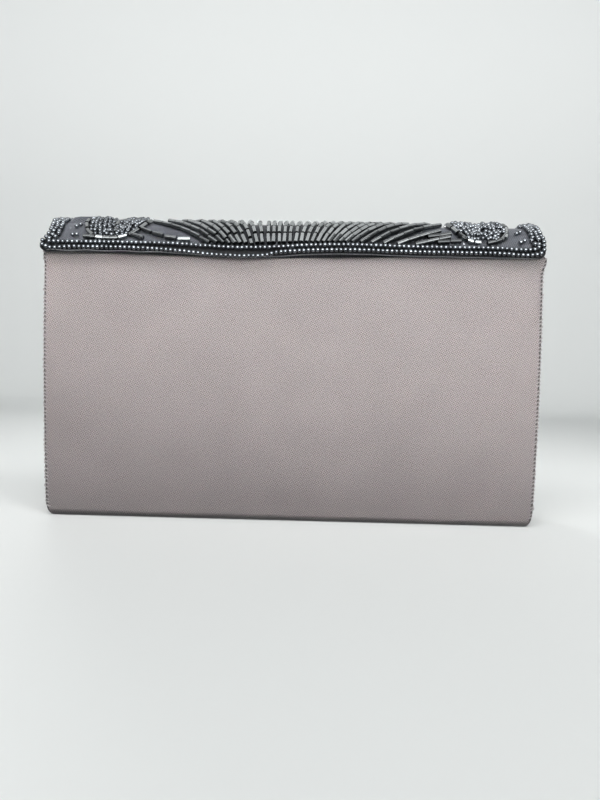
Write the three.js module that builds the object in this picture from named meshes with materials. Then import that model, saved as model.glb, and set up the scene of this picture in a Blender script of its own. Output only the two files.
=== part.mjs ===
// A beaded evening clutch, standing upright on its flat base.
// Millimetres, +Z up. The plain satin back faces -Y and the flap falls down the front, at +Y.
// The origin is at the middle of the clutch, on the surface that it stands on.

import * as THREE from 'three';

// Driving dimensions

const GAP = 0.3; // clearance between neighbouring pieces

const BODY = {
  width: 216, // across the back panel, at its foot and at its mouth
  bulge: 0.8, // how far each side edge swells at mid height
  cornerDraw: 1.6, // how far the foot's corners draw in
  cornerHeight: 7, // where that drawing in starts
  backHeight: 118.3,
  frontHeight: 114.5,
  footDepth: 37, // back to front, outside, at the base
  mouthDepth: 34.3, // back to front, outside, at the height of the back panel's top
  wall: 2.4, // satin over board
  foldRadius: 3.1, // outside radius of the folds along the base
};

const GUSSET = {
  wall: 1.3,
  edgeInset: 0.5, // from the panels' side edges
  topDrop: 4, // below the back panel's top
  footFold: 1.2, // depth of the inward fold at the base
  mouthFold: 9, // depth of the inward fold at the top
};

const FLAP = {
  wall: 1.6,
  halfWidth: 108.4,
  lipHeight: 116.3, // the lower edge that lies on the back panel
  springHeight: 117.5, // where the arch over the mouth starts
  archRise: 15.7,
  archPower: 1.6, // superellipse exponent of the arch: under 2 gives straighter flanks
  frontClearance: 2.2, // from the front panel to the flap, the snap's room
  frontEdgeHeight: 22, // the lower edge down the front
  backCorner: 3.5,
  frontCorner: 14,
};

const BEAD_RADIUS = 0.9; // of a string of seed beads

// Strings of seed beads round the flap, each set in from the flap's side, back and front edges.
const BEAD_ROWS = [
  { name: 'bead_row_outer', side: 1.1, back: 1.75, front: 1.5, backCorner: 2.6, frontCorner: 12.6, dip: 1.2 },
  { name: 'bead_row_middle', side: 3.2, back: 3.85, front: 3.6, backCorner: 1.5, frontCorner: 10.5, dip: 0 },
  { name: 'bead_row_inner', side: 5.3, back: 5.05, front: 5.7, backCorner: 0, frontCorner: 8.4, dip: 0 },
];
const ROW_DIP = { centre: -26, reach: 22 }; // where the outer string sags over the lip

const FAN = {
  base: 5.4, // height of the strands' feet above the lip, along the cloth
  pitch: 2.35, // across upright strands
  closePitch: 2.05, // across strands that lean by more than closeLean
  closeLean: 40,
  widePitch: 3.3, // across the far right strands, which stand apart
  widenFrom: 35, // the leans to the right between which they come to stand apart
  widenTo: 45,
  firstFoot: -36.5, // the feet lie between the first and the last
  middleFoot: -3,
  lastFoot: 60,
  centre: 2, // of the fan's elliptical outline
  halfWidth: 67, // of that outline
  reach: 52, // of that outline, up and over the flap
  lift: 0.5, // under side, above the cloth
  groove: 1.0, // between strands, above the cloth
  crest: 2.1, // along strands, above the cloth
};

// Lean of the fan's strands to the right of straight up, by the place of their feet.
const FAN_LEANS = [
  { foot: -46, lean: -72 },
  { foot: -35, lean: -58 },
  { foot: -28, lean: -40 },
  { foot: -20, lean: -25 },
  { foot: -10, lean: -3 },
  { foot: 0, lean: 1 },
  { foot: 10, lean: 17 },
  { foot: 20, lean: 34 },
  { foot: 30, lean: 45 },
  { foot: 40, lean: 57 },
  { foot: 50, lean: 71 },
  { foot: 60, lean: 79 },
];

// The lone strand of bugles to the left of the fan: places across and up the cloth.
const LONE_STRAND = [
  { x: -43.4, s: 6.3 },
  { x: -49.6, s: 6.4 },
  { x: -55.4, s: 7.7 },
  { x: -61, s: 9.6 },
  { x: -66.2, s: 12.6 },
];

// Leaves filled with seed beads: root across and up the cloth, lean to the right of straight up.
const LEAVES = [
  { name: 'leaf_left_outer', across: -83, up: 6.8, lean: -13, length: 30, width: 14.2 },
  { name: 'leaf_left_inner', across: -74, up: 7.2, lean: 12, length: 30, width: 13.8 },
  { name: 'leaf_right_inner', across: 78.3, up: 7.2, lean: -12, length: 30, width: 12.4 },
  { name: 'leaf_right_outer', across: 86.7, up: 6.8, lean: 7, length: 30, width: 12.6 },
];
const LEAF = { lift: 0.45, edge: 1.1, crown: 2.4, tip: 0.8, roundness: 0.75 };

const SNAP = { radius: 7, height: 52 };

const STEPS = {
  bodyAcross: 8,
  bodyUp: 6,
  fold: 4,
  gussetAcross: 8,
  gussetUp: 8,
  flapAcross: 8,
  arch: 20,
  front: 5,
  corner: 4,
  profile: 240,
  rowSides: 8,
  rowBack: 18,
  fanAlong: 14,
  leafAlong: 9,
  leafAcross: 4,
  snapRound: 32,
};

// Materials

const satin = new THREE.MeshStandardMaterial({ color: 0xb0a5a4, roughness: 0.55, metalness: 0 });
const flapCloth = new THREE.MeshStandardMaterial({ color: 0x85878c, roughness: 0.6, metalness: 0 });
const seedBeads = new THREE.MeshStandardMaterial({ color: 0x5c6066, roughness: 0.25, metalness: 0.8 });
const bugleBeads = new THREE.MeshStandardMaterial({ color: 0x74787a, roughness: 0.3, metalness: 0.8 });
const snapMetal = new THREE.MeshStandardMaterial({ color: 0xb9b9bb, roughness: 0.35, metalness: 1 });

// Surfaces and solids

// Values from start to end in equal steps, both ends included.
function spread(start, end, steps) {
  return Array.from({ length: steps + 1 }, (unused, i) => start + ((end - start) * i) / steps);
}

// A closed wall between two grids of points. Both are functions of a column and a row value, and
// columns cross rows facing out on the outer grid.
function closedWall(columns, rows, outerPoint, innerPoint) {
  const positions = [];
  const triangles = [];
  const wide = columns.length;
  const tall = rows.length;
  for (const point of [outerPoint, innerPoint]) {
    for (const row of rows) {
      for (const column of columns) {
        positions.push(...point(column, row).toArray());
      }
    }
  }
  const outer = (i, j) => j * wide + i;
  const inner = (i, j) => wide * tall + j * wide + i;
  const quad = (a, b, c, d) => triangles.push(a, b, c, a, c, d);
  for (let j = 0; j < tall - 1; j += 1) {
    for (let i = 0; i < wide - 1; i += 1) {
      quad(outer(i, j), outer(i + 1, j), outer(i + 1, j + 1), outer(i, j + 1));
      quad(inner(i, j), inner(i, j + 1), inner(i + 1, j + 1), inner(i + 1, j));
    }
  }
  for (let i = 0; i < wide - 1; i += 1) {
    quad(outer(i, 0), inner(i, 0), inner(i + 1, 0), outer(i + 1, 0));
    quad(outer(i, tall - 1), outer(i + 1, tall - 1), inner(i + 1, tall - 1), inner(i, tall - 1));
  }
  for (let j = 0; j < tall - 1; j += 1) {
    quad(outer(0, j), outer(0, j + 1), inner(0, j + 1), inner(0, j));
    quad(outer(wide - 1, j), inner(wide - 1, j), inner(wide - 1, j + 1), outer(wide - 1, j + 1));
  }
  return indexedGeometry(positions, triangles);
}

function indexedGeometry(positions, triangles) {
  const geometry = new THREE.BufferGeometry();
  geometry.setAttribute('position', new THREE.Float32BufferAttribute(positions, 3));
  geometry.setIndex(triangles);
  geometry.computeVertexNormals();
  return geometry;
}

// A round tube along a route of points with a surface normal each. A ring route joins its own start.
function tube(route, radius, isRing) {
  const positions = [];
  const triangles = [];
  const sides = STEPS.rowSides;
  const count = route.length;
  route.forEach(({ point, normal }, k) => {
    const before = isRing ? route[(k + count - 1) % count] : route[Math.max(k - 1, 0)];
    const after = isRing ? route[(k + 1) % count] : route[Math.min(k + 1, count - 1)];
    const along = after.point.clone().sub(before.point).normalize();
    const beside = along.clone().cross(normal).normalize();
    const above = beside.clone().cross(along);
    for (let i = 0; i < sides; i += 1) {
      const angle = (2 * Math.PI * i) / sides;
      const corner = point.clone();
      corner.addScaledVector(above, radius * Math.cos(angle));
      corner.addScaledVector(beside, radius * Math.sin(angle));
      positions.push(...corner.toArray());
    }
  });
  const spans = isRing ? count : count - 1;
  for (let k = 0; k < spans; k += 1) {
    for (let i = 0; i < sides; i += 1) {
      const a = k * sides + i;
      const b = k * sides + ((i + 1) % sides);
      const c = ((k + 1) % count) * sides + ((i + 1) % sides);
      const d = ((k + 1) % count) * sides + i;
      triangles.push(a, b, c, a, c, d);
    }
  }
  if (!isRing) {
    const last = (count - 1) * sides;
    for (let i = 1; i < sides - 1; i += 1) {
      triangles.push(0, i + 1, i, last, last + i, last + i + 1);
    }
  }
  return indexedGeometry(positions, triangles);
}

// The body: one satin-covered wrap that is the front panel, the base and the back panel

function halfWidthAt(z) {
  const swell = BODY.bulge * Math.sin((Math.PI * z) / BODY.backHeight);
  const draw = Math.max(0, 1 - z / BODY.cornerHeight);
  return BODY.width / 2 + swell - BODY.cornerDraw * draw * draw;
}

// Outside of the front panel, which leans in towards the mouth. The back panel's outside is y = 0.
function frontFaceAt(z) {
  return BODY.footDepth + ((BODY.mouthDepth - BODY.footDepth) * z) / BODY.backHeight;
}

// Stations down the front, under the base and up the back, as outside and inside places.
function bodyStations() {
  const { wall, foldRadius } = BODY;
  const stations = [];
  const addPanel = (heights, faceAt, inward) => {
    for (const z of heights) {
      const y = faceAt(z);
      stations.push({ outside: [y, z], inside: [y + inward * wall, z] });
    }
  };
  const addFold = (y, startAngle) => {
    for (const angle of spread(startAngle, startAngle - Math.PI / 2, STEPS.fold).slice(1, -1)) {
      const place = (radius) => [y + radius * Math.cos(angle), foldRadius + radius * Math.sin(angle)];
      stations.push({ outside: place(foldRadius), inside: place(foldRadius - wall) });
    }
  };
  const frontFoldY = frontFaceAt(foldRadius) - foldRadius;
  addPanel(spread(BODY.frontHeight, foldRadius, STEPS.bodyUp), frontFaceAt, -1);
  addFold(frontFoldY, 0);
  stations.push({ outside: [frontFoldY, 0], inside: [frontFoldY, wall] });
  stations.push({ outside: [foldRadius, 0], inside: [foldRadius, wall] });
  addFold(foldRadius, -Math.PI / 2);
  addPanel(spread(foldRadius, BODY.backHeight, STEPS.bodyUp), () => 0, 1);
  return stations;
}

function bodyWrap() {
  const placeAt = (side) => (across, station) => {
    const [y, z] = station[side];
    return new THREE.Vector3(across * halfWidthAt(station.outside[1]), y, z);
  };
  return closedWall(spread(-1, 1, STEPS.bodyAcross), bodyStations(), placeAt('outside'), placeAt('inside'));
}

// A side wall that folds inwards along its middle, deeper towards the mouth.
function gusset(side) {
  const back = BODY.wall + GAP;
  const foot = BODY.wall + GAP;
  const top = BODY.backHeight - GUSSET.topDrop;
  const pointAt = (inset) => (across, z) => {
    const front = frontFaceAt(z) - BODY.wall - GAP;
    const share = (z - foot) / (top - foot);
    const depth = GUSSET.footFold + (GUSSET.mouthFold - GUSSET.footFold) * share;
    const fold = depth * Math.cos((Math.PI * across) / 2);
    const x = halfWidthAt(z) - GUSSET.edgeInset - fold - inset;
    const y = back + ((front - back) * (1 + side * across)) / 2;
    return new THREE.Vector3(side * x, y, z);
  };
  const columns = spread(-1, 1, STEPS.gussetAcross);
  return closedWall(columns, spread(foot, top, STEPS.gussetUp), pointAt(0), pointAt(GUSSET.wall));
}

// The flap: flat coordinates are x across and s along the cloth, from its lip on the back panel,
// over the mouth and down the front

const flapBack = -GAP - FLAP.wall;
const flapFrontAt = (z) => frontFaceAt(z) + FLAP.frontClearance + FLAP.wall;

// Fine points of the flap's outside in side view, each with its distance s along the cloth.
function flapProfile() {
  const middle = (flapFrontAt(FLAP.springHeight) + flapBack) / 2;
  const halfDepth = middle - flapBack;
  const exponent = 2 / FLAP.archPower;
  const places = [[flapBack, FLAP.lipHeight]];
  for (const angle of spread(0, Math.PI, STEPS.profile)) {
    const run = Math.sign(Math.cos(angle)) * Math.abs(Math.cos(angle)) ** exponent;
    const rise = Math.abs(Math.sin(angle)) ** exponent;
    places.push([middle - halfDepth * run, FLAP.springHeight + FLAP.archRise * rise]);
  }
  places.push([flapFrontAt(FLAP.frontEdgeHeight), FLAP.frontEdgeHeight]);
  let s = 0;
  return places.map(([y, z], k) => {
    if (k > 0) {
      s += Math.hypot(y - places[k - 1][0], z - places[k - 1][1]);
    }
    return { y, z, s };
  });
}

const profile = flapProfile();
const flapLength = profile[profile.length - 1].s;
const archStart = profile[1].s;
const archEnd = profile[profile.length - 2].s;

// Place in side view at distance s.
function profileAt(s) {
  const next = Math.max(1, profile.findIndex((place) => place.s >= s));
  const a = profile[next - 1];
  const b = profile[next];
  const share = (s - a.s) / (b.s - a.s);
  return { y: a.y + (b.y - a.y) * share, z: a.z + (b.z - a.z) * share };
}

// Outward normal at distance s, from the chord between two near places.
function flapNormal(s) {
  const reach = 0.8;
  const a = profileAt(Math.max(0, s - reach));
  const b = profileAt(Math.min(flapLength, s + reach));
  return new THREE.Vector3(0, a.z - b.z, b.y - a.y).normalize();
}

// Point at x and s, lifted off the cloth's outside.
function flapPoint(x, s, lift) {
  const { y, z } = profileAt(s);
  return new THREE.Vector3(x, y, z).addScaledVector(flapNormal(s), lift);
}

// Half the flap's width at distance s, with its four corners rounded.
function flapHalfWidthAt(s) {
  const rounded = (radius, fromEdge) => {
    const inside = Math.max(0, radius - fromEdge);
    return radius - Math.sqrt(radius * radius - inside * inside);
  };
  return FLAP.halfWidth - rounded(FLAP.backCorner, s) - rounded(FLAP.frontCorner, flapLength - s);
}

function flap() {
  const quarter = spread(0, Math.PI / 2, STEPS.corner);
  const backCorner = quarter.map((angle) => FLAP.backCorner * (1 - Math.cos(angle)));
  const frontCorner = quarter.map((angle) => flapLength - FLAP.frontCorner * (1 - Math.cos(angle)));
  const over = spread(FLAP.backCorner, archEnd, STEPS.arch).slice(1);
  const down = spread(archEnd, flapLength - FLAP.frontCorner, STEPS.front).slice(1, -1);
  const rows = [...backCorner, ...over, ...down, ...frontCorner.reverse()];
  const pointAt = (lift) => (across, s) => flapPoint(across * flapHalfWidthAt(s), s, lift);
  return closedWall(spread(-1, 1, STEPS.flapAcross), rows, pointAt(0), pointAt(-FLAP.wall));
}

// Strings of seed beads round the flap

// Flat corners of a quarter turn round a centre, starting at an angle from +x towards +s.
function quarterTurn(x, s, radius, startAngle) {
  return spread(startAngle, startAngle + Math.PI / 2, STEPS.corner).map((angle) => ({
    x: x + radius * Math.cos(angle),
    s: s + radius * Math.sin(angle),
  }));
}

// How far the outer string sags over the lip at x.
function sagAt(x, depth) {
  const share = Math.min(1, Math.abs(x - ROW_DIP.centre) / ROW_DIP.reach);
  return (depth * (1 + Math.cos(Math.PI * share))) / 2;
}

// Flat route of a string: up the right side, along the front edge and down the left side. A string
// with a back corner goes on along the back edge and closes, and one without ends at the sides.
function rowRoute(row) {
  const halfWidth = FLAP.halfWidth - row.side;
  const front = flapLength - row.front;
  const sides = spread(row.back + row.backCorner, archEnd, STEPS.arch);
  const frontX = halfWidth - row.frontCorner;
  const frontS = front - row.frontCorner;
  const up = sides.map((s) => ({ x: halfWidth, s }));
  const down = [...sides].reverse().map((s) => ({ x: -halfWidth, s }));
  const route = [
    ...up,
    ...quarterTurn(frontX, frontS, row.frontCorner, 0),
    ...quarterTurn(-frontX, frontS, row.frontCorner, Math.PI / 2),
    ...down,
  ];
  if (row.backCorner === 0) {
    return route;
  }
  const backX = halfWidth - row.backCorner;
  const backS = row.back + row.backCorner;
  const along = spread(-backX, backX, STEPS.rowBack).slice(1, -1);
  const back = along.map((x) => ({ x, s: row.back - sagAt(x, row.dip) }));
  return [
    ...route,
    ...quarterTurn(-backX, backS, row.backCorner, Math.PI).slice(1),
    ...back,
    ...quarterTurn(backX, backS, row.backCorner, -Math.PI / 2).slice(0, -1),
  ];
}

function beadRow(row) {
  const route = rowRoute(row).map(({ x, s }) => ({
    point: flapPoint(x, s, GAP + BEAD_RADIUS),
    normal: flapNormal(s),
  }));
  return tube(route, BEAD_RADIUS, row.backCorner > 0);
}

// The fan of bugle strands: straight strands in flat coordinates, leaning out further from the centre

// Lean of a strand in degrees, between the table's two nearest feet.
function fanLean(foot) {
  const found = FAN_LEANS.findIndex((entry) => entry.foot >= foot);
  const next = Math.max(1, found < 0 ? FAN_LEANS.length - 1 : found);
  const a = FAN_LEANS[next - 1];
  const b = FAN_LEANS[next];
  return THREE.MathUtils.mapLinear(foot, a.foot, b.foot, a.lean, b.lean);
}

function fanPlace(foot, distance) {
  const lean = THREE.MathUtils.degToRad(fanLean(foot));
  return { x: foot + distance * Math.sin(lean), s: FAN.base + distance * Math.cos(lean) };
}

// Distance along a strand to the fan's elliptical outline, by halving.
function strandLength(foot) {
  let inside = 0;
  let outside = FAN.halfWidth + FAN.reach;
  while (outside - inside > 0.01) {
    const trial = (inside + outside) / 2;
    const { x, s } = fanPlace(foot, trial);
    const isInside = Math.hypot((x - FAN.centre) / FAN.halfWidth, (s - FAN.base) / FAN.reach) < 1;
    inside = isInside ? trial : inside;
    outside = isInside ? outside : trial;
  }
  return inside;
}

// Step along the feet that keeps neighbouring strands a pitch apart: closer where they lean, wider on the far right.
function footStep(foot) {
  const lean = fanLean(foot);
  const closing = THREE.MathUtils.smoothstep(Math.abs(lean), 0, FAN.closeLean);
  const widening = THREE.MathUtils.smoothstep(lean, FAN.widenFrom, FAN.widenTo);
  const leaningPitch = THREE.MathUtils.lerp(FAN.closePitch, FAN.widePitch, widening);
  const pitch = THREE.MathUtils.lerp(FAN.pitch, leaningPitch, closing);
  return pitch / Math.cos(THREE.MathUtils.degToRad(lean));
}

// Feet of the strands, from left to right, stepped out from the middle one.
function strandFeet() {
  const left = [];
  for (let foot = FAN.middleFoot - footStep(FAN.middleFoot); foot > FAN.firstFoot; foot -= footStep(foot)) {
    left.unshift(foot);
  }
  const right = [];
  for (let foot = FAN.middleFoot; foot < FAN.lastFoot; foot += footStep(foot)) {
    right.push(foot);
  }
  return [...left, ...right];
}

// One ribbed plate over the flap: a crest on each strand and a groove between neighbours.
function bugleFan() {
  const feet = strandFeet();
  const columns = [{ foot: feet[0] - FAN.pitch / 2, height: FAN.groove }];
  feet.forEach((foot, k) => {
    const next = k < feet.length - 1 ? (foot + feet[k + 1]) / 2 : foot + FAN.pitch / 2;
    columns.push({ foot, height: FAN.crest }, { foot: next, height: FAN.groove });
  });
  const pointAt = (liftOf) => (column, share) => {
    const { x, s } = fanPlace(column.foot, share * strandLength(column.foot));
    return flapPoint(x, s, liftOf(column));
  };
  const rows = spread(0, 1, STEPS.fanAlong);
  return closedWall(columns, rows, pointAt((column) => column.height), pointAt(() => FAN.lift));
}

// The lone strand of bugles
function loneStrand() {
  const route = LONE_STRAND.map(({ x, s }) => ({
    point: flapPoint(x, s, GAP + BEAD_RADIUS),
    normal: flapNormal(s),
  }));
  return tube(route, BEAD_RADIUS, false);
}

// A leaf: a domed pad with a pointed oval outline
function leaf({ across, up, lean, length, width }) {
  const angle = THREE.MathUtils.degToRad(lean);
  const pointAt = (liftOf) => (beside, share) => {
    const swell = Math.max(0, Math.sin(Math.PI * share)) ** LEAF.roundness;
    const halfWidth = (LEAF.tip + (width - LEAF.tip) * swell) / 2;
    const x = across + share * length * Math.sin(angle) + beside * halfWidth * Math.cos(angle);
    const s = up + share * length * Math.cos(angle) - beside * halfWidth * Math.sin(angle);
    return flapPoint(x, s, liftOf(beside, swell));
  };
  const domed = (beside, swell) => LEAF.edge + (LEAF.crown - LEAF.edge) * (1 - beside * beside) * swell;
  const columns = spread(-1, 1, STEPS.leafAcross);
  const rows = spread(0, 1, STEPS.leafAlong);
  return closedWall(columns, rows, pointAt(domed), pointAt(() => LEAF.lift));
}

// The hidden snap between the front panel and the flap
function snap() {
  const thickness = FLAP.frontClearance - 2 * GAP;
  return new THREE.CylinderGeometry(SNAP.radius, SNAP.radius, thickness, STEPS.snapRound);
}

// Assembly

// Half way between the back strings' outside and the front border's outside.
function middleDepth() {
  const rowHeight = GAP + 2 * BEAD_RADIUS;
  return (flapBack - rowHeight + flapFrontAt(FLAP.frontEdgeHeight) + rowHeight) / 2;
}

const clutch = new THREE.Group();
clutch.name = 'beaded_clutch';
const pieces = new THREE.Group();
pieces.position.y = -middleDepth();
clutch.add(pieces);

function addPiece(name, geometry, material) {
  const mesh = new THREE.Mesh(geometry, material);
  mesh.name = name;
  pieces.add(mesh);
  return mesh;
}

addPiece('body_wrap', bodyWrap(), satin);
addPiece('gusset_left', gusset(-1), satin);
addPiece('gusset_right', gusset(1), satin);
addPiece('flap', flap(), flapCloth);
for (const row of BEAD_ROWS) {
  addPiece(row.name, beadRow(row), seedBeads);
}
addPiece('bugle_fan', bugleFan(), bugleBeads);
addPiece('bugle_strand', loneStrand(), bugleBeads);
for (const shape of LEAVES) {
  addPiece(shape.name, leaf(shape), seedBeads);
}

const snapDisc = addPiece('snap', snap(), snapMetal);
const frontLean = Math.atan2(BODY.footDepth - BODY.mouthDepth, BODY.backHeight);
snapDisc.position.set(0, frontFaceAt(SNAP.height) + FLAP.frontClearance / 2, SNAP.height);
snapDisc.rotation.x = frontLean;

export default clutch;
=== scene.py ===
"""A beaded evening clutch: satin body, beaded flap, and the seed beads and bugles sewn on it.

Shapes are worked out in millimetres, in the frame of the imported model: x along the clutch, y from
the plain back panel to the flap's front, z up from the surface that it stands on. The flap is laid
out in flat coordinates: x across and s along the cloth, from its lip on the back panel, over the
mouth and down the front. A RUN or FADE is where a smooth step starts and ends; four numbers are
where it rises and where it falls again.
"""

import bpy
import numpy as np
from mathutils import Matrix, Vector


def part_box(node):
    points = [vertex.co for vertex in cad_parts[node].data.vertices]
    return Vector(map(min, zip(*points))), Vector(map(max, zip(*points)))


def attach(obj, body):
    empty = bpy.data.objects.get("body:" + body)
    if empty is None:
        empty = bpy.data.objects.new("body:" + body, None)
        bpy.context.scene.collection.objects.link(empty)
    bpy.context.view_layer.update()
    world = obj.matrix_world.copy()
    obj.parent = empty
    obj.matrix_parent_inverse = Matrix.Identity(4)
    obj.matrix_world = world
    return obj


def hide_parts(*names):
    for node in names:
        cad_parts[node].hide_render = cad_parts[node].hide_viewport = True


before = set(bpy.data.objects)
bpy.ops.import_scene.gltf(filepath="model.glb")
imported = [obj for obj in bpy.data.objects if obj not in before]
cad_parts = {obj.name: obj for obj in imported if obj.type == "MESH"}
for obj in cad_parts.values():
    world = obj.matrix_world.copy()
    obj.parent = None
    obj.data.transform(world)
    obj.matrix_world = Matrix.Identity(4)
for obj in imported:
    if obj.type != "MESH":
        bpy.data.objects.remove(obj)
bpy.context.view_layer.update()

MM = 0.001


def node_box(node):
    """Lowest and highest corner of a CAD node, in millimetres."""
    low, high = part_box(node)
    return np.array(low) / MM, np.array(high) / MM


# Sizes of the satin body and its folded sides
BACK_Y = node_box("body_wrap")[0][1]
BODY_HEIGHT = node_box("body_wrap")[1][2]
FRONT_HEIGHT = 114.5
BODY_WIDTH = 216.0
SIDE_BULGE = 0.8
CORNER_DRAW = 1.6
CORNER_HEIGHT = 7.0
FOOT_DEPTH = 37.0
MOUTH_DEPTH = 34.3
BODY_WALL = 2.4
FOLD_RADIUS = 3.1
EDGE_ROLL = 0.9
EDGE_SHADE = 0.85
EDGE_SHADE_RUN = (0.75, 1.35)
PANEL_PUFF = 0.45
PANEL_RIPPLE = 0.12
TIP_RIGHT, TIP_LEFT = 1.6, 0.6
TIP_RUN = (98.0, 107.0)
TIP_HEIGHTS = (110.5, 115.6, 116.4, 118.0)
GUSSET_WALL = 1.3
GUSSET_FOOT, GUSSET_TOP = node_box("gusset_left")[0][2], node_box("gusset_left")[1][2]
GUSSET_INSET = 0.5
GUSSET_FOOT_FOLD = 1.2
GUSSET_MOUTH_FOLD = 9.0
GUSSET_PUCKER = 0.22
GUSSET_CLOTH = 32.0
CLEARANCE = 0.3

# Added to the cloth maps, which are in metres
CLOTH_SHIFT = 0.12

# Sizes of the flap
FLAP_WALL = 1.6
FLAP_HALF_WIDTH = node_box("flap")[1][0]
LIP_HEIGHT = 116.3
SPRING_HEIGHT = 117.5
ARCH_RISE = 15.7
ARCH_POWER = 1.6
FRONT_CLEARANCE = 2.2
FLAP_FOOT = 22.0
BACK_CORNER = 3.5
FRONT_CORNER = 14.0
FLAP_ROLL = 0.6
PROFILE_STEP = 0.25

# How the flap's lip hangs down, lifts and stands off the panel, and how its left end is drawn in and out
LIP_DROP = 1.4
LIP_DROP_CENTRE = -22.0
LIP_DROP_REACH = 36.0
LIP_LIFT = 0.55
LIP_LIFT_CENTRE = 26.0
LIP_LIFT_REACH = 18.0
LIP_DROP_FADE = (3.0, 13.0)
LIP_STAND = 0.9
LIP_STAND_RUN = (20.0, 75.0)
LIP_STAND_FADE = (2.0, 9.0)
END_IN, END_OUT = 1.4, 0.9
END_RUN = (88.0, 105.0)
END_IN_RUN = (4.0, 8.0, 12.0, 21.0)
END_OUT_FADE = (1.5, 5.5)
LIP_FOLD_RADIUS = 0.21
LIP_FOLD_INSET = 3.2

# The soft fold of the cloth on the ridge near the left end, with painted shade in it
RIDGE_FOLD = 2.6
RIDGE_FOLD_SHADE = 0.2
RIDGE_FOLD_X = (84.0, 90.0, 99.0, 104.0)
RIDGE_FOLD_S = (21.0, 25.0, 27.0, 33.0)

# How the painted shade under the beads fades from the border, the lip, the fan and the leaves
PAINTED_SHADE_BORDER_FADE, PAINTED_SHADE_LIP_FADE = (5.4, 6.6), (4.2, 5.2)
PAINTED_SHADE_FAN_FADE, PAINTED_SHADE_LEAF_FADE = (0.82, 0.97), (0.8, 1.0)
PAINTED_SHADE_FAN = 0.75
BARE_SHARE = 0.8
BARE_RUN = (30.0, 40.0)

# Sizes of the beads, and the gaps under them
BEAD_DIAMETER = 2.04
BEAD_PITCH = 1.97
BEAD_GAP = 0.1
BUGLE_LENGTH = 5.15
BUGLE_PITCH = 5.4
BUGLE_RADIUS = 1.0
BUGLE_GAP = 0.08
BEAD_SIDES = 8

# Tone of a silver-lined bugle
SILVER = 2.0

# Strings of seed beads: set in from the flap's side, back and front edges, with their corner radii.
BEAD_ROWS = {
    "bead_row_outer": dict(side=1.1, back=1.75, front=1.5, back_corner=2.6, front_corner=12.6, sag=1.15),
    "bead_row_middle": dict(side=3.2, back=3.85, front=3.6, back_corner=1.5, front_corner=10.5, sag=0.0),
    "bead_row_inner": dict(side=5.3, back=5.05, front=5.7, back_corner=0.0, front_corner=8.4, sag=0.0),
}
SAG_RUN = (-75.0, -28.0, -13.0, -4.0)
END_SAG = 0.45
END_SAG_RUN = (94.0, 102.0)
END_DIP = 0.6
END_DIP_CENTRE = 99.0
END_DIP_REACH = 7.0

# The fan of bugle strands. Its tone is painted light in the middle, as painted reflection, and painted
# shade lowers it to the left, to the right and at the last feet.
FAN_BASE = 5.0
FAN_PITCH = 2.35
FAN_CLOSE_PITCH = 2.05
FAN_CLOSE_LEAN = 40.0
FAN_WIDE_PITCH = 3.3
FAN_WIDEN_RUN = (35.0, 45.0)
FAN_FIRST_FOOT, FAN_MIDDLE_FOOT, FAN_LAST_FOOT = -36.5, -3.0, 60.0
FAN_CENTRE = 2.0
FAN_HALF_WIDTH = 67.0
FAN_REACH = 52.0
FAN_TONE = 0.87
FAN_LEFT_SHADE, FAN_RIGHT_SHADE, FAN_LAST_SHADE = 0.25, 0.35, 0.4
FAN_LEFT_RUN, FAN_RIGHT_RUN, FAN_LAST_RUN = (8.0, 24.0), (18.0, 40.0), (44.0, 54.0)

# Lean of the strands to the right of straight up, in degrees, by the place of their feet
LEAN_FEET = (-46, -35, -28, -20, -10, 0, 10, 20, 30, 40, 50, 60)
LEANS = (-72, -58, -40, -25, -3, 1, 17, 34, 45, 57, 71, 79)

# The lone strand of bugles to the left of the fan, as flat places
LONE_STRAND = np.array(((-43.4, 6.3), (-49.6, 6.4), (-55.4, 7.7), (-61.0, 9.6), (-66.2, 12.6)))
LONE_PITCH = 5.8

# Leaves of seed beads: root across and up the cloth, lean to the right of straight up in degrees, size,
# the edges that bugles line, -1 for the left and 1 for the right, and the mean tone of the beads
LEAF_COLUMNS = ("across", "up", "lean", "length", "width", "edges", "shade")
LEAF_ROWS = {
    "leaf_left_outer": (-83.0, 6.8, -13.0, 30.0, 14.2, (-1.0,), 0.28),
    "leaf_left_inner": (-74.0, 7.2, 12.0, 30.0, 13.8, (-1.0, 1.0), 0.28),
    "leaf_right_inner": (78.3, 7.2, -12.0, 30.0, 12.4, (-1.0,), 0.5),
    "leaf_right_outer": (86.7, 6.8, 7.0, 30.0, 12.6, (1.0,), 0.5),
}
LEAVES = {node: dict(zip(LEAF_COLUMNS, row)) for node, row in LEAF_ROWS.items()}
LEAF_TIP = 0.8
LEAF_ROUNDNESS = 0.6
LEAF_FULLNESS = 0.78
LEAF_LINED_ROOM, LEAF_BARE_ROOM = 1.7, 0.2
LEAF_HEAP = 0.7
LEAF_SPACING = 1.02 * BEAD_PITCH
LEAF_ROW_STEP = 0.93

# Beads between the roots of two leaves: the middle of their lower row across, and up the cloth
LEAF_ROOTS = np.array(((-78.3, 8.1), (81.8, 8.5)))

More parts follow.
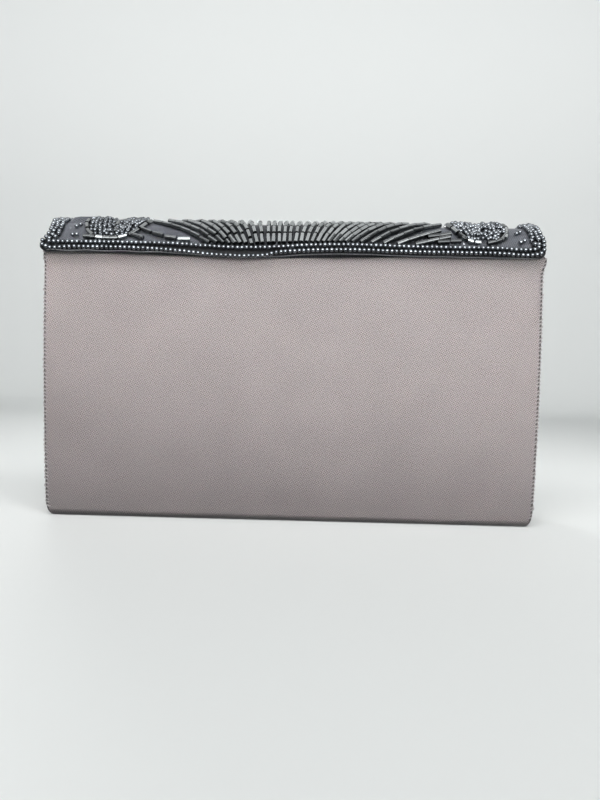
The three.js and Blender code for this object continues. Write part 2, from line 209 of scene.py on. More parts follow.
# Bugles that stand alone: x, s, turn from straight up in degrees, length, and tone
LONE_BUGLES = np.array((
    (-87.8, 6.7, -84.0, 5.2, 0.2),
    (-83.3, 6.3, 90.0, 2.9, SILVER),
    (-80.0, 6.0, 94.0, 3.2, 0.46),
    (-76.7, 6.0, 86.0, 3.2, 0.4),
    (-73.3, 7.0, 66.0, 3.4, SILVER),
    (-67.0, 7.4, -68.0, 6.0, 0.4),
    (74.4, 8.8, -42.0, 2.3, 1.0),
    (76.7, 7.3, -62.0, 2.3, SILVER),
    (79.6, 6.6, -82.0, 2.4, SILVER),
    (85.4, 6.8, 78.0, 3.6, 0.1),
    (88.8, 7.9, 64.0, 3.6, 0.2),
    (92.0, 10.2, 18.0, 2.6, 0.9),
    (92.6, 13.2, 4.0, 2.6, 0.9),
    (61.0, 10.1, 76.0, 5.2, 0.05),
    (66.3, 11.4, 76.0, 5.2, 0.1),
    (65.0, 6.6, 84.0, 5.0, 0.0),
    (70.2, 7.1, 86.0, 4.6, 0.0),
))

# Pairs of beads that stand alone at the flap's ends: two flat places each
END_PAIRS = np.array((
    ((-96.2, 14.4), (-94.7, 16.2)),
    ((-96.1, 7.9), (-94.1, 8.1)),
    ((97.2, 13.2), (98.9, 14.5)),
    ((97.8, 7.1), (99.5, 8.0)),
))

# Pairs of beads scattered over the front: their grid, and the room kept from edges, fan and leaves
PAIR_COLUMNS, PAIR_ROWS = 21, 13
PAIR_STEP_X, PAIR_STEP_S = 9.6, 8.4
PAIR_FIRST_S = 38.0
PAIR_ROOM = 9.5
PAIR_MARGIN = 6.0
PAIR_CORNER = 10.0
PAIR_LEAF_ROOM = (10.0, 18.0)

# Overcast stitches down the panels' side edges
STITCH_PITCH = 1.7
STITCH_RADIUS = 0.33
STITCH_INSET = 0.95
STITCH_WIDTH = 1.15
STITCH_DEPTH = 1.2
STITCH_RISE = 1.9
STITCH_START, STITCH_TURN = -70.0, 210.0


# Small tools for arrays and meshes


def unit(vectors):
    """Vectors scaled to length one."""
    return vectors / np.linalg.norm(vectors, axis=-1, keepdims=True)


def smooth_step(value, low, high):
    """0 below low, 1 above high, and a smooth S between."""
    share = np.clip((value - low) / (high - low), 0.0, 1.0)
    return share * share * (3.0 - 2.0 * share)


def plateau(value, rise, top, fall, end):
    """0 before rise, 1 from top to fall, 0 after end, and a smooth S between."""
    return smooth_step(value, rise, top) * (1.0 - smooth_step(value, fall, end))


def joined(*values):
    """Arrays spread to one shape and set side by side along a last axis."""
    return np.stack(np.broadcast_arrays(*values), axis=-1)


def run_along(line):
    """Distance of each point of a line from its first, along the line."""
    return np.concatenate(([0.0], np.cumsum(np.linalg.norm(np.diff(line, axis=0), axis=1))))


def between(at, run, values):
    """Two-column values at any distances along their run."""
    return joined(*(np.interp(at, run, column) for column in values.T))


def finer_at_edges(edge, edge_steps, middle_steps):
    """Steps from -1 to 1, closer together beyond plus and minus edge."""
    edges = np.linspace(edge, 1.0, edge_steps)
    return np.concatenate((-edges[::-1], np.linspace(-edge, edge, middle_steps)[1:-1], edges))


def grid_quads(rows, columns, wrap=False):
    """Quads of a grid of points that is stored row by row; wrap joins the last column to the first."""
    i = np.arange(columns if wrap else columns - 1)
    j = np.arange(rows - 1)[:, None]
    ahead = (i + 1) % columns
    corners = (j * columns + i, j * columns + ahead, (j + 1) * columns + ahead, (j + 1) * columns + i)
    return joined(*corners).reshape(-1, 4)


def capped_tube(rows, columns, flip=False):
    """Faces of a grid whose columns close on themselves, with one over each end; flip turns them over."""
    order = -1 if flip else 1
    faces = grid_quads(rows, columns, wrap=True)[:, ::order].tolist()
    end = np.arange(columns)
    faces.append(end[::-order].tolist())
    faces.append((end + (rows - 1) * columns)[::order].tolist())
    return faces


def new_piece(name, points, faces, material, cloth=None, tone=None, crease=50.0):
    """A mesh piece of points in millimetres; cloth is its UV map and tone a value kept on each point.

    Edges that bend by more than crease degrees are sharp.
    """
    mesh = bpy.data.meshes.new(name)
    mesh.from_pydata((points * MM).tolist(), [], faces)
    mesh.polygons.foreach_set("use_smooth", np.full(len(mesh.polygons), True))
    mesh.set_sharp_from_angle(angle=np.radians(crease))
    if cloth is not None:
        corner_points = np.empty(len(mesh.loops), np.int32)
        mesh.loops.foreach_get("vertex_index", corner_points)
        layer = mesh.uv_layers.new(name="cloth")
        layer.data.foreach_set("uv", cloth[corner_points].astype(np.float32).ravel())
    if tone is not None:
        values = mesh.attributes.new("tone", "FLOAT", "POINT")
        values.data.foreach_set("value", tone.astype(np.float32))
    mesh.materials.append(material)
    mesh.update()
    piece = bpy.data.objects.new(name, mesh)
    bpy.context.scene.collection.objects.link(piece)
    return piece


def dress(piece, slot, *nodes):
    """The piece rides on the one body and stands for these nodes. The slot is not used."""
    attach(piece, "root")
    if nodes:
        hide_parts(*nodes)
    return piece


# Materials


def new_material(name):
    """A material's two functions: one adds a node, the other fills in its shader and returns it."""
    material = bpy.data.materials.new(name)
    material.use_nodes = True
    tree = material.node_tree

    def fill(node, inputs):
        for key, value in inputs.items():
            if isinstance(value, bpy.types.NodeSocket):
                tree.links.new(value, node.inputs[key])
            else:
                node.inputs[key].default_value = value

    def add(kind, inputs, **settings):
        made = tree.nodes.new(kind)
        for key, value in settings.items():
            setattr(made, key, value)
        fill(made, inputs)
        return made

    def finish(inputs):
        fill(tree.nodes["Principled BSDF"], inputs)
        return material

    return add, finish


def maths(add, operation, *values):
    """A math node's result."""
    return add("ShaderNodeMath", dict(enumerate(values)), operation=operation).outputs[0]


def scaled(add, value, factor, extra):
    """A value times a factor, plus an extra."""
    return maths(add, "MULTIPLY_ADD", value, factor, extra)


def vector_maths(add, operation, *values):
    """A vector math node."""
    return add("ShaderNodeVectorMath", dict(enumerate(values)), operation=operation)


def noise(add, place, scale, detail, dimensions="3D"):
    """A noise node."""
    inputs = {"Vector": place, "Scale": scale, "Detail": detail}
    return add("ShaderNodeTexNoise", inputs, noise_dimensions=dimensions)


def object_noise(add, scale, detail):
    """Noise fixed to the piece, from 0 to 1."""
    place = add("ShaderNodeTexCoord", {}).outputs["Object"]
    return noise(add, place, scale, detail).outputs[0]


def tone_of(add):
    """The tone kept on the piece's points."""
    return add("ShaderNodeAttribute", {}, attribute_name="tone").outputs["Fac"]


def clamped(add, value):
    """A value held between 0 and 1."""
    return add("ShaderNodeClamp", {"Value": value}).outputs[0]


def colour_mix(add, share, first, second):
    """A blend of two colours, each a socket or its red, green and blue."""
    ends = [end if isinstance(end, bpy.types.NodeSocket) else (*end, 1.0) for end in (first, second)]
    return add("ShaderNodeMix", {0: share, 6: ends[0], 7: ends[1]}, data_type="RGBA").outputs[2]


def bumped(add, height, strength, distance):
    """A normal that follows a height."""
    inputs = {"Height": height, "Strength": strength, "Distance": distance}
    return add("ShaderNodeBump", inputs).outputs[0]


def woven_satin(name, dark, light, darkening_colour, roughness, sheen, gloss):
    """Five-end satin: points where the yarns cross, a fine grain and a slow drift of shade.

    The points are two cosines along (1, 2) and (2, -1) in yarns of the cloth's UV map, bent and faded by
    noise. The cloth's tone blends it into the darkening colour: painted shade in the body's side seams,
    under the flap's beads and in its fold, and the lip's roll darker towards the right.
    """
    yarn = 0.33 * MM
    turns = 2.0 * np.pi / (5.0 * yarn)
    bending = (0.55 * MM, 0.55 * MM, 0.0)
    add, finish = new_material(name)
    cloth = add("ShaderNodeUVMap", {}, uv_map="cloth").outputs[0]
    bend = noise(add, cloth, 420.0, 2.0, "2D").outputs["Color"]
    bent = vector_maths(add, "MULTIPLY_ADD", bend, bending, cloth).outputs[0]
    waves = []
    for yarns in ((1.0, 2.0, 0.0), (2.0, -1.0, 0.0)):
        step = tuple(turns * y for y in yarns)
        phase = vector_maths(add, "DOT_PRODUCT", bent, step).outputs["Value"]
        waves.append(maths(add, "COSINE", phase))
    points = maths(add, "ADD", *waves)
    patches = noise(add, cloth, 260.0, 2.0, "2D").outputs[0]
    strength = scaled(add, patches, 0.5, -0.02)
    drift = noise(add, cloth, 40.0, 3.0, "2D").outputs[0]
    grain = noise(add, cloth, 1700.0, 1.0, "2D").outputs[0]
    grained = scaled(add, grain, 0.6, 0.13)
    plain = scaled(add, drift, 0.14, grained)
    shade = scaled(add, points, strength, plain)
    woven = colour_mix(add, clamped(add, shade), dark, light)
    return finish({
        "Base Color": colour_mix(add, tone_of(add), woven, darkening_colour),
        "Roughness": scaled(add, patches, 0.2, roughness - 0.1),
        "Normal": bumped(add, points, 0.2, 0.03 * MM),
        "Sheen Weight": sheen,
        "Sheen Roughness": 0.4,
        "Specular IOR Level": gloss,
    })


def lustred_glass(name, dark, light, silver, roughness, mottling):
    """Glass with a gunmetal lustre. A bead's tone picks its shade, and over 1.5 it is silver-lined."""
    add, finish = new_material(name)
    tone = tone_of(add)
    mottle = object_noise(add, 1400.0, 2.0)
    shade = scaled(add, maths(add, "SUBTRACT", mottle, 0.5), mottling, tone)
    body = colour_mix(add, clamped(add, shade), dark, light)
    return finish({
        "Base Color": colour_mix(add, maths(add, "GREATER_THAN", tone, 1.5), body, silver),
        "Roughness": scaled(add, mottle, 0.1, roughness - 0.05),
        "Metallic": 1.0,
    })


def sewing_thread(name, dark, light):
    """Thread with a fine grain of fibres, in colour and bump."""
    add, finish = new_material(name)
    fibre = object_noise(add, 3800.0, 2.0)
    return finish({
        "Base Color": colour_mix(add, fibre, dark, light),
        "Normal": bumped(add, fibre, 0.4, 0.05 * MM),
        "Roughness": 0.55,
        "Sheen Weight": 0.3,
    })


def plain_nickel(name, dark, light):
    """Nickel with a faint grain."""
    add, finish = new_material(name)
    grain = object_noise(add, 900.0, 3.0)
    return finish({
        "Base Color": colour_mix(add, grain, dark, light),
        "Roughness": scaled(add, grain, 0.2, 0.22),
        "Metallic": 1.0,
    })


def pale_paper(name, colour):
    """Matt pale paper, for the floor and the walls. It glows by its tone."""
    add, finish = new_material(name)
    return finish({
        "Base Color": (*colour, 1.0),
        "Emission Color": (*colour, 1.0),
        "Emission Strength": tone_of(add),
        "Roughness": 0.85,
        "Specular IOR Level": 0.2,
    })


SATIN = woven_satin(
    "mauve_satin", (0.15, 0.134, 0.133), (0.65, 0.585, 0.575), (0.03, 0.028, 0.029),
    roughness=0.45, sheen=0.1, gloss=0.25,
)
LIP_SATIN = woven_satin(
    "grey_lip_satin", (0.3, 0.3, 0.318), (0.68, 0.683, 0.715), (0.02, 0.02, 0.022),
    roughness=0.5, sheen=0.1, gloss=0.35,
)
FLAP_SATIN = woven_satin(
    "blue_grey_satin", (0.055, 0.058, 0.068), (0.212, 0.225, 0.253), (0.016, 0.017, 0.019),
    roughness=0.45, sheen=0.05, gloss=0.15,
)
SEED_GLASS = lustred_glass(
    "gunmetal_seed_glass", (0.185, 0.197, 0.212), (0.45, 0.48, 0.512), (0.9, 0.92, 0.92),
    roughness=0.215, mottling=0.3,
)
BUGLE_GLASS = lustred_glass(
    "gunmetal_bugle_glass", (0.07, 0.074, 0.0755), (0.34, 0.357, 0.361), (0.6, 0.63, 0.64),
    roughness=0.2, mottling=0.1,
)
THREAD = sewing_thread("grey_thread", (0.3, 0.28, 0.28), (0.62, 0.58, 0.57))
NICKEL = plain_nickel("nickel", (0.45, 0.45, 0.46), (0.62, 0.62, 0.63))


# The satin body


def half_width_at(z):
    """Half the body's width at a height. It swells at mid height and draws in at the foot's corners."""
    swell = SIDE_BULGE * np.sin(np.pi * z / BODY_HEIGHT)
    draw = np.clip(1.0 - z / CORNER_HEIGHT, 0.0, None)
    return BODY_WIDTH / 2.0 + swell - CORNER_DRAW * draw**2


def corner_tip(x, z):
    """Shift along x of the back panel's top corners, which poke out under the flap's ends."""
    reach = np.where(x > 0.0, TIP_RIGHT, -TIP_LEFT)
    return reach * smooth_step(np.abs(x), *TIP_RUN) * plateau(z, *TIP_HEIGHTS)


def front_face_at(z):
    """Depth of the front panel's outside from the back panel's. It leans in towards the mouth."""
    return FOOT_DEPTH + (MOUTH_DEPTH - FOOT_DEPTH) * z / BODY_HEIGHT


def rolled_section(middle, thickness, roll):
    """A closed loop round a wall's section, as three arrays.

    share is the place between the rolled edges, from -1 to 1, beyond the distance past them and depth
    the distance into the wall. The loop goes right outside, round an edge, left inside and round again.
    """
    angle = np.linspace(0.0, np.pi / 2.0, 6)[1:-1]
    bend = np.concatenate((roll * np.sin(angle), [roll, roll], roll * np.sin(angle[::-1])))
    outer_depth = roll * (1.0 - np.cos(angle))
    sink = np.concatenate((outer_depth, [roll, thickness - roll], thickness - outer_depth[::-1]))
    flat = np.zeros(len(middle))
    edge = np.ones(len(bend))
    share = np.concatenate((middle, edge, middle[::-1], -edge))
    beyond = np.concatenate((flat, bend, flat, -bend))
    depth = np.concatenate((flat, sink, flat + thickness, sink[::-1]))
    return share, beyond, depth


def swept_wall(path, inward, half_widths, section, roll, puff):
    """Points, faces and cloth coordinates of a wall: a section across x carried along a side-view path.

    A point is the path's place, plus x = share * (half width - roll) + beyond, plus depth along the
    inward normal. puff lifts the outside by a function of x and distance along the path.
    """
    share, beyond, depth = section
    along = run_along(path)[:, None]
    x = share * (half_widths - roll)[:, None] + beyond
    sink = depth - puff(x, along) * (depth < 1e-6)
    points = np.empty(x.shape + (3,))
    points[..., 0] = x
    points[..., 1:] = path[:, None, :] + sink[..., None] * inward[:, None, :]
    cloth = joined(x, along) * MM + CLOTH_SHIFT
    return points.reshape(-1, 3), capped_tube(*x.shape), cloth.reshape(-1, 2)


def body_path():
    """Side-view path of the body's outside, down the front, under the base and up the back.

    Its inward normals come with it.
    """
    turn = np.linspace(0.0, np.pi / 2.0, 9)
    lean = np.arctan2(FOOT_DEPTH - MOUTH_DEPTH, BODY_HEIGHT)
    top = (front_face_at(FRONT_HEIGHT), FRONT_HEIGHT)
    foot = (front_face_at(FOLD_RADIUS), FOLD_RADIUS)
    centre = np.array((foot[0] - FOLD_RADIUS, FOLD_RADIUS))
    front_out = joined(np.cos(turn), -np.sin(turn))
    back_out = joined(-np.sin(turn), -np.cos(turn))
    front = np.linspace(top, foot, 40)[:-1]
    base = np.linspace((centre[0], 0.0), (FOLD_RADIUS, 0.0), 14)[1:-1]
    back = np.linspace((0.0, FOLD_RADIUS), (0.0, BODY_HEIGHT), 60)[1:]
    front_in = np.tile((-np.cos(lean), -np.sin(lean)), (len(front), 1))
    base_in = np.tile((0.0, 1.0), (len(base), 1))
    back_in = np.tile((1.0, 0.0), (len(back), 1))
    front_fold = centre + FOLD_RADIUS * front_out
    back_fold = FOLD_RADIUS + FOLD_RADIUS * back_out
    path = np.concatenate((front, front_fold, base, back_fold, back))
    return path, np.concatenate((front_in, -front_out, base_in, -back_out, back_in))


def make_body():
    """The satin-covered wrap: front panel, base and back panel in one, a little padded under the satin."""
    path, inward = body_path()
    half_widths = half_width_at(path[:, 1])
    total = run_along(path)[-1]

    def puff(x, along):
        on_panel = np.minimum(along, total - along)
        rise = smooth_step(BODY_HEIGHT - on_panel, 3.0, 16.0) * smooth_step(on_panel, 0.0, 10.0)
        ends = 1.0 - (np.abs(x) / (BODY_WIDTH / 2.0)) ** 10
        ripple = PANEL_RIPPLE * np.sin(x * 0.061 + 0.7) * np.sin(along * 0.083 + x * 0.017)
        return rise * ends * (PANEL_PUFF + ripple)

    section = rolled_section(finer_at_edges(0.985, 7, 71), BODY_WALL, EDGE_ROLL)
    points, faces, cloth = swept_wall(path, inward, half_widths, section, EDGE_ROLL, puff)
    # Painted shade in the seams along the panels' side edges, off the base
    from_edge = half_width_at(points[:, 2]) - np.abs(points[:, 0])
    on_panel = smooth_step(points[:, 2], 1.0, 4.0)
    tone = EDGE_SHADE * on_panel * (1.0 - smooth_step(from_edge, *EDGE_SHADE_RUN))
    points[:, 0] += corner_tip(points[:, 0], points[:, 2]) * (points[:, 1] < 2.0 * BODY_WALL)
    points[:, 1] += BACK_Y
    piece = dress(new_piece("satin_body", points, faces, SATIN, cloth, tone), "satin", "body_wrap")


def make_gusset(side, name, node):
    """A satin side wall, folded inwards along its middle, deeper towards the mouth.

    x = edge - depth(z) * cos(pi * across / 2) - faint puckers, and y runs from panel to panel.
    """
    across = np.linspace(-1.0, 1.0, 33)
    z = np.linspace(GUSSET_FOOT, GUSSET_TOP, 61)[:, None]
    share = (z - GUSSET_FOOT) / (GUSSET_TOP - GUSSET_FOOT)
    depth = GUSSET_FOOT_FOLD + (GUSSET_MOUTH_FOLD - GUSSET_FOOT_FOLD) * share
    crease = np.cos(np.pi * across / 2.0)
    pucker = GUSSET_PUCKER * np.sin(z * 0.52 + 1.7 * side) * crease * (1.0 - crease) * 4.0
    back = BODY_WALL + CLEARANCE
    front = front_face_at(z) - BODY_WALL - CLEARANCE
    y = back + (front - back) * (1.0 + side * across) / 2.0
    layers = []
    for inset in (0.0, GUSSET_WALL):
        x = half_width_at(z) - GUSSET_INSET - depth * crease - pucker * share - inset
        layers.append(joined(side * x, y + BACK_Y, z).reshape(-1, 3))
    rows, columns = y.shape
    count = rows * columns
    outer = np.arange(count).reshape(rows, columns)
    rim = np.concatenate((outer[0], outer[1:, -1], outer[-1, -2::-1], outer[-2:0:-1, 0]))
    following = np.roll(rim, -1)
    sides = joined(rim, rim + count, following + count, following)
    quads = grid_quads(rows, columns)
    faces = np.concatenate((quads, quads[:, ::-1] + count, sides))
    run = joined(across * GUSSET_CLOTH / 2.0, z)
    cloth = np.tile(run.reshape(-1, 2), (2, 1)) * MM + CLOTH_SHIFT
    piece = dress(new_piece(name, np.concatenate(layers), faces.tolist(), SATIN, cloth), "satin", node)


# The flap and its flat coordinates


def flap_front_at(z):
    """Depth of the flap's outside down the front."""
    return front_face_at(z) + FRONT_CLEARANCE + FLAP_WALL


def flap_profile():
    """Side-view line of the flap's outside at equal steps of s, with its tangents and outward normals.

    A short upright lip, then the superellipse |y/a|^n + |z/b|^n = 1 over the mouth, then a straight
    fall down the front.
    """
    back = -CLEARANCE - FLAP_WALL
    middle = (flap_front_at(SPRING_HEIGHT) + back) / 2.0
    angle = np.linspace(0.0, np.pi, 2001)
    run = np.sign(np.cos(angle)) * np.abs(np.cos(angle)) ** (2.0 / ARCH_POWER)
    rise = np.abs(np.sin(angle)) ** (2.0 / ARCH_POWER)
    y = np.concatenate(([back], middle - (middle - back) * run, [flap_front_at(FLAP_FOOT)]))
    z = np.concatenate(([LIP_HEIGHT], SPRING_HEIGHT + ARCH_RISE * rise, [FLAP_FOOT]))
    line = joined(y, z)
    length = run_along(line)
    s = np.arange(0.0, length[-1] + PROFILE_STEP / 2.0, PROFILE_STEP)
    place = between(s, length, line)
    reach = int(0.8 / PROFILE_STEP)
    before = place[np.clip(np.arange(len(s)) - reach, 0, None)]
    after = place[np.clip(np.arange(len(s)) + reach, None, len(s) - 1)]
    tangent = unit(after - before)
    normal = joined(-tangent[:, 1], tangent[:, 0])
    return s, place, tangent, normal


PROFILE_S, PROFILE_PLACE, PROFILE_TANGENT, PROFILE_NORMAL = flap_profile()
FLAP_LENGTH = PROFILE_S[-1]


def end_draw(x, s):
    """Shift along x of the flap's left end: out at the lip and in above it, fading away from the end."""
    out = 1.0 - smooth_step(s, *END_OUT_FADE)
    drawn_in = plateau(s, *END_IN_RUN)
    return smooth_step(-x, *END_RUN) * (END_IN * drawn_in - END_OUT * out)


def lip_drop(x, s):
    """How far the flap's lip hangs down, fading up the cloth.

    It is a raised cosine across x, less a bell to its right.
    """
    share = np.clip(np.abs(x - LIP_DROP_CENTRE) / LIP_DROP_REACH, 0.0, 1.0)
    hang = LIP_DROP * (1.0 + np.cos(np.pi * share)) / 2.0
    lift = LIP_LIFT * np.exp(-(((x - LIP_LIFT_CENTRE) / LIP_LIFT_REACH) ** 2))
    return (hang - lift) * (1.0 - smooth_step(s, *LIP_DROP_FADE))


def lip_stand(x, s):
    """How far the flap's lip stands off the panel towards its left end, fading up the cloth."""
    return LIP_STAND * smooth_step(-x, *LIP_STAND_RUN) * (1.0 - smooth_step(s, *LIP_STAND_FADE))


def flap_shift(x, s):
    """Shift of the flap's cloth and beads from the plain profile, into the frame."""
    return joined(end_draw(x, s), BACK_Y - lip_stand(x, s), -lip_drop(x, s))


def on_flap(x, s, lift):
    """Points at flat places, lifted off the cloth's outside."""
    normal = between(s, PROFILE_S, PROFILE_NORMAL)
    side_view = between(s, PROFILE_S, PROFILE_PLACE) + np.asarray(lift)[..., None] * normal
    return joined(x, side_view[..., 0], side_view[..., 1]) + flap_shift(x, s)


def flap_axes(s, turn):
    """Direction along the cloth at an angle from straight up, towards +x, and the outward normal."""
    tangent = unit(between(s, PROFILE_S, PROFILE_TANGENT))
    normal = unit(between(s, PROFILE_S, PROFILE_NORMAL))
    return joined(np.sin(turn), *(np.cos(turn) * tangent.T)), joined(0.0, *normal.T)


def rounded_off(radius, from_edge):
    """How far a corner of this radius draws in at a distance from the edge."""
    inside = np.clip(radius - from_edge, 0.0, None)
    return radius - np.sqrt(radius**2 - inside**2)


def ridge_fold(x, s):
    """A soft fold of the cloth on the ridge near the left end, 1 along its top."""
    return plateau(-x, *RIDGE_FOLD_X) * plateau(s, *RIDGE_FOLD_S)


def leaf_place(shape, along, beside):
    """Flat place at a distance along a leaf from its root and beside its middle line."""
    angle = np.radians(shape["lean"])
    x = shape["across"] + along * np.sin(angle) + beside * np.cos(angle)
    s = shape["up"] + along * np.cos(angle) - beside * np.sin(angle)
    return x, s


def fan_share(x, s, room=0.0):
    """0 at the foot of the fan's middle and 1 on its outline, which room widens."""
    return np.hypot((x - FAN_CENTRE) / (FAN_HALF_WIDTH + room), (s - FAN_BASE) / (FAN_REACH + room))


def leaf_share(shape, x, s, half_width, half_length):
    """0 in the middle of a leaf and 1 on an oval round it."""
    middle_x, middle_s = leaf_place(shape, shape["length"] / 2.0, 0.0)
    return np.hypot((x - middle_x) / half_width, (s - middle_s) / half_length)


def painted_shade_share(x, s):
    """How far painted shade darkens the cloth, under the beads and in the ridge's fold.

    It is 1 under the border strings and the leaves, less under the fan, and least in the ridge's fold.
    """
    from_side = FLAP_HALF_WIDTH - np.abs(x)
    corner_x = np.clip(FRONT_CORNER - from_side, 0.0, None)
    corner_s = np.clip(FRONT_CORNER - (FLAP_LENGTH - s), 0.0, None)
    in_corner = (corner_x > 0.0) & (corner_s > 0.0)
    from_corner = np.where(in_corner, FRONT_CORNER - np.hypot(corner_x, corner_s), FRONT_CORNER)
    from_front = np.minimum(FLAP_LENGTH - s, from_corner)
    bare = 1.0 - BARE_SHARE * smooth_step(-x, *BARE_RUN)
    shares = [
        1.0 - smooth_step(np.minimum(from_side, from_front), *PAINTED_SHADE_BORDER_FADE),
        1.0 - smooth_step(s, *PAINTED_SHADE_LIP_FADE),
        RIDGE_FOLD_SHADE * ridge_fold(x, s),
        PAINTED_SHADE_FAN * (1.0 - smooth_step(fan_share(x, s), *PAINTED_SHADE_FAN_FADE)) * bare,
    ]
    for shape in LEAVES.values():
        share = leaf_share(shape, x, s, shape["width"] / 2.0, shape["length"] / 2.0)
        shares.append(1.0 - smooth_step(share, *PAINTED_SHADE_LEAF_FADE))
    return np.max(shares, axis=0)


def make_flap():
    """The flap's cloth: a rolled section across x, carried along the profile, with rounded corners."""
    ends = 1.0 - np.cos(np.linspace(0.0, np.pi / 2.0, 12))
    back_s = BACK_CORNER * ends
    front_s = FLAP_LENGTH - FRONT_CORNER * ends[::-1]
    fine_end = 62.0
    fine_s = np.linspace(BACK_CORNER, fine_end, 90)
    coarse_s = np.linspace(fine_end, front_s[0], 30)
    s = np.concatenate((back_s[:-1], fine_s[:-1], coarse_s[:-1], front_s))
    back_draw = rounded_off(BACK_CORNER, s)
    front_draw = rounded_off(FRONT_CORNER, FLAP_LENGTH - s)
    half_widths = FLAP_HALF_WIDTH - back_draw - front_draw

    def puff(x, along):
        drawn = np.sin(x * 0.23 + 1.1) * np.sin(along * 0.31 + x * 0.05) * 0.05
        slow = 0.05 * np.sin(x * 0.071) * np.sin(along * 0.12)
        return drawn + slow + RIDGE_FOLD * ridge_fold(x, along)

    path = between(s, PROFILE_S, PROFILE_PLACE)
    inward = -unit(between(s, PROFILE_S, PROFILE_NORMAL))
    section = rolled_section(finer_at_edges(0.93, 16, 80), FLAP_WALL, FLAP_ROLL)
    points, faces, cloth = swept_wall(path, inward, half_widths, section, FLAP_ROLL, puff)
    flat_s = np.repeat(s, len(section[0]))
    outside = np.tile(section[2] < FLAP_WALL / 2.0, len(s))
    # Painted shade under the beads and in the ridge's fold, on the outside of the cloth only
    tone = painted_shade_share(points[:, 0], flat_s) * outside
    points += flap_shift(points[:, 0], flat_s)
    piece = dress(new_piece("flap_cloth", points, faces, FLAP_SATIN, cloth, tone), "flap_cloth", "flap")


def make_lip_fold():
    """The turned edge of satin that shows under the beads on the back: a slim roll along the flap's lip."""
    half = FLAP_HALF_WIDTH - LIP_FOLD_INSET
    x = np.linspace(-half, half, 160)[:, None]
    angle = np.linspace(0.0, 2.0 * np.pi, 13)[:-1]
    thinning = np.clip(1.0 - (np.abs(x) / (half + 0.1)) ** 60, 0.02, None)
    swell = LIP_FOLD_RADIUS * np.sqrt(thinning)
    loose = smooth_step(-x, 30.0, 80.0)
    wander = 0.1 * np.sin(x * 0.05) + (0.05 + 0.1 * loose) * np.sin(x * 0.41)
    s = 0.2 + 0.3 * loose + wander + swell * np.cos(angle)
    lift = swell * np.sin(angle)
    points = on_flap(np.broadcast_to(x, s.shape), np.clip(s, 0.0, None), lift)
    points[..., 2] += np.minimum(s, 0.0)
    faces = capped_tube(*s.shape, flip=True)
    cloth = joined(x, s + 300.0) * MM + CLOTH_SHIFT
    tone = np.broadcast_to(0.45 - 0.75 * loose, s.shape).clip(0.0, 1.0).ravel()
    piece = new_piece("lip_fold", points.reshape(-1, 3), faces, LIP_SATIN, cloth.reshape(-1, 2), tone)
    dress(piece, "satin")


# Beads


def bored_shape(axial, rings):
    """A closed line of distances along x and radii, turned round x, as points and quads that face out."""
    around = (np.arange(BEAD_SIDES) + 0.5) * 2.0 * np.pi / BEAD_SIDES
    rings = rings[:, None]
    points = joined(axial[:, None], rings * np.cos(around), rings * np.sin(around)).reshape(-1, 3)
    quads = grid_quads(len(axial) + 1, BEAD_SIDES, wrap=True) % len(points)
    first, second, third, fourth = points[quads].transpose(1, 0, 2)
    volume = np.sum(first * (np.cross(second, third) + np.cross(third, fourth)))
    return points, quads if volume > 0.0 else quads[:, ::-1]


def seed_bead():
    """A seed bead of diameter 1 with its hole along x: a ball cut off at both ends and bored through."""
    hole = 0.1
    slant = np.radians((-50.0, -17.0, 17.0, 50.0))
    axial = np.concatenate((0.5 * np.sin(slant), (0.36, -0.36)))
    rings = np.concatenate((0.5 * np.cos(slant), (hole, hole)))
    return bored_shape(axial, rings)


def bugle():
    """A bugle along x: an eight-sided tube with a hole and square-cut ends, one facet towards z."""
    hole = 0.4
    axial = np.array((-0.5, 0.5, 0.5, -0.5)) * BUGLE_LENGTH
    rings = np.array((BUGLE_RADIUS, BUGLE_RADIUS, hole, hole))
    return bored_shape(axial, rings)


def turned(along, up, rng, spread):
    """The two directions turned a little at random, still square to each other."""
    tilt = rng.normal(0.0, spread, (2,) + along.shape)
    along = unit(along + tilt[0])
    up = up + tilt[1]
    return along, unit(up - np.sum(up * along, axis=-1, keepdims=True) * along)


def bead_piece(name, shape, places, axes, roll, sizes, tone, glass, crease):
    """A piece of joined copies of a bead, each with its own tone and rolled about its length.

    Each point is place + x * along + y * across + z * up, with x, y and z times the copy's sizes.
    """
    points, quads = shape
    along, up = axes
    up = np.cos(roll) * up + np.sin(roll) * np.cross(along, up)
    frames = np.stack((along, np.cross(up, along), up), axis=1) * sizes[..., None]
    placed = places[:, None, :] + np.einsum("vk,nkj->nvj", points, frames)
    first = np.arange(len(places))[:, None, None] * len(points)
    faces = (quads[None] + first).reshape(-1, 4).tolist()
    tones = np.repeat(tone, len(points))
    return new_piece(name, placed.reshape(-1, 3), faces, glass, tone=tones, crease=crease)


def seed_piece(name, x, s, turn, lift, rng, *nodes, tilt=0.1, shade=0.55):
    """Makes seed beads at flat places, their holes at an angle from straight up, to stand for nodes."""
    count = len(x)
    axes = turned(*flap_axes(s, turn), rng, tilt)
    roll = rng.uniform(0.0, 2.0 * np.pi, (count, 1))
    sizes = BEAD_DIAMETER * rng.normal(1.0, 0.025, (count, 1)) * np.ones(3)
    tone = np.clip(rng.normal(shade, 0.2, count), 0.0, 1.0)
    places = on_flap(x, s, lift)
    piece = bead_piece(name, seed_bead(), places, axes, roll, sizes, tone, SEED_GLASS, 180.0)
    dress(piece, "seed_beads", *nodes)


def bugle_piece(name, x, s, turn, length, tone, rng, *nodes):
    """Makes bugles on the cloth at flat places, at an angle from straight up, to stand for nodes."""
    count = len(x)
    axes = turned(*flap_axes(s, turn), rng, 0.025)
    roll = rng.normal(0.0, 0.07, (count, 1))
    girth = rng.normal(1.0, 0.03, count)
    sizes = joined(length / BUGLE_LENGTH, girth, girth)
    places = on_flap(x, s, np.full(count, BUGLE_RADIUS + BUGLE_GAP))
    piece = bead_piece(name, bugle(), places, axes, roll, sizes, tone, BUGLE_GLASS, 60.0)
    dress(piece, "bugle_beads", *nodes)


# Strings of seed beads


